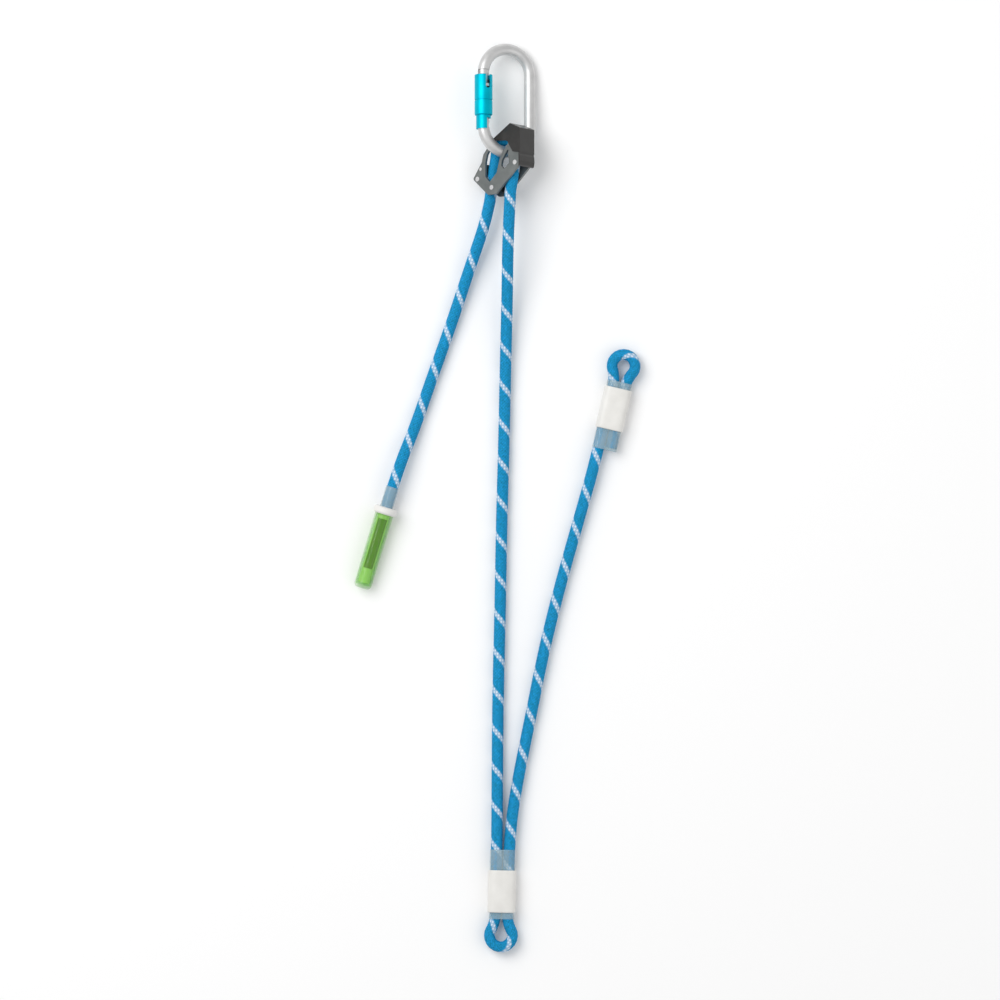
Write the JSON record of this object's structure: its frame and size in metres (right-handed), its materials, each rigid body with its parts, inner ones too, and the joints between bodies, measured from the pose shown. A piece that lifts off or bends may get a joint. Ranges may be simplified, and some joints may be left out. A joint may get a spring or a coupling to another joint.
{
  "type": "rope grab lanyard",
  "caption": "Rope lanyard with an adjuster of side plates gripping the rope's bend on an oval locking connector, a sewn eye at each end of its arms, and a stopper handle on the tail.",
  "frame": {"origin": "on the surface it lies on, under the centre of the box round the connector and the adjuster", "axes": "+Y from the adjuster towards the connector's top, +Z up from the surface, +X to the right seen from above with +Y up"},
  "size_m": [0.2722, 0.8642, 0.0522],
  "materials": {
    "connector_metal": "matte",
    "bright_steel": "polished",
    "anodised_sleeve": "anodised, satin",
    "dark_plastic": "matte",
    "plate_metal": "anodised, matte",
    "hood_metal": "satin",
    "rope": "braided",
    "clear_sleeve": "glossy",
    "white_sleeve": "satin",
    "green_plastic": "glossy",
    "label_film": "matte"
  },
  "bodies": {
    "adjuster": {"bottom_cover_sleeve": "white_sleeve", "bottom_eye_rope": "rope", "bottom_shrink_sleeve": "clear_sleeve", "cut_strand": "rope", "front_side_plate": "plate_metal", "guard_rivet": "bright_steel", "handle_flange": "white_sleeve", "handle_label": "label_film", "hood": "hood_metal", "main_arm_rope": "rope", "plate_rivets": "bright_steel", "rear_side_plate": "plate_metal", "rope_bight": "rope", "rope_guard": "dark_plastic", "second_arm_rope": "rope", "spacer_bushes": "bright_steel", "stopper_handle": "green_plastic", "tail_core": "rope", "tail_rope": "rope", "tail_shrink_sleeve": "clear_sleeve", "upper_cover_sleeve": "white_sleeve", "upper_eye_rope": "rope", "upper_shrink_sleeve": "clear_sleeve"},
    "connector": {"carabiner_body": "connector_metal", "gate_hinge_pin": "bright_steel"},
    "gate": {"gate": "connector_metal", "gate_plunger": "bright_steel", "gate_spring": "bright_steel", "hinge_collar": "anodised_sleeve", "sleeve_spring": "bright_steel"},
    "sleeve_slider": {"sleeve_ring": "dark_plastic"},
    "sleeve": {"locking_sleeve": "anodised_sleeve"}
  },
  "joints": [
    {"name": "connector_swing", "type": "hinge", "parent": "adjuster", "child": "connector", "pos_m": [0.00201, -0.02875, 0.02588], "axis": [-0.6561, 0.0985, 0.7483], "range_deg": [-8, 8]},
    {"name": "gate_open", "type": "hinge", "parent": "connector", "child": "gate", "pos_m": [-0.01992, -0.00015, 0.03243], "axis": [-0.4226, -0.1183, -0.8986], "range_deg": [0, 25], "stiffness_Nm_per_rad": 0.12, "springref_deg": -17.19},
    {"name": "sleeve_slide", "type": "slide", "parent": "gate", "child": "sleeve_slider", "axis": [0, -0.9914, 0.1305], "range_m": [0, 0.0035], "stiffness_N_per_m": 600, "springref_m": -0.002, "deforming": ["sleeve_spring"]},
    {"name": "sleeve_turn", "type": "hinge", "parent": "sleeve_slider", "child": "sleeve", "pos_m": [-0.01992, 0.02166, 0.02956], "axis": [0, 0.9914, -0.1305], "range_deg": [0, 90], "stiffness_Nm_per_rad": 0.02, "springref_deg": -17.19}
  ]
}
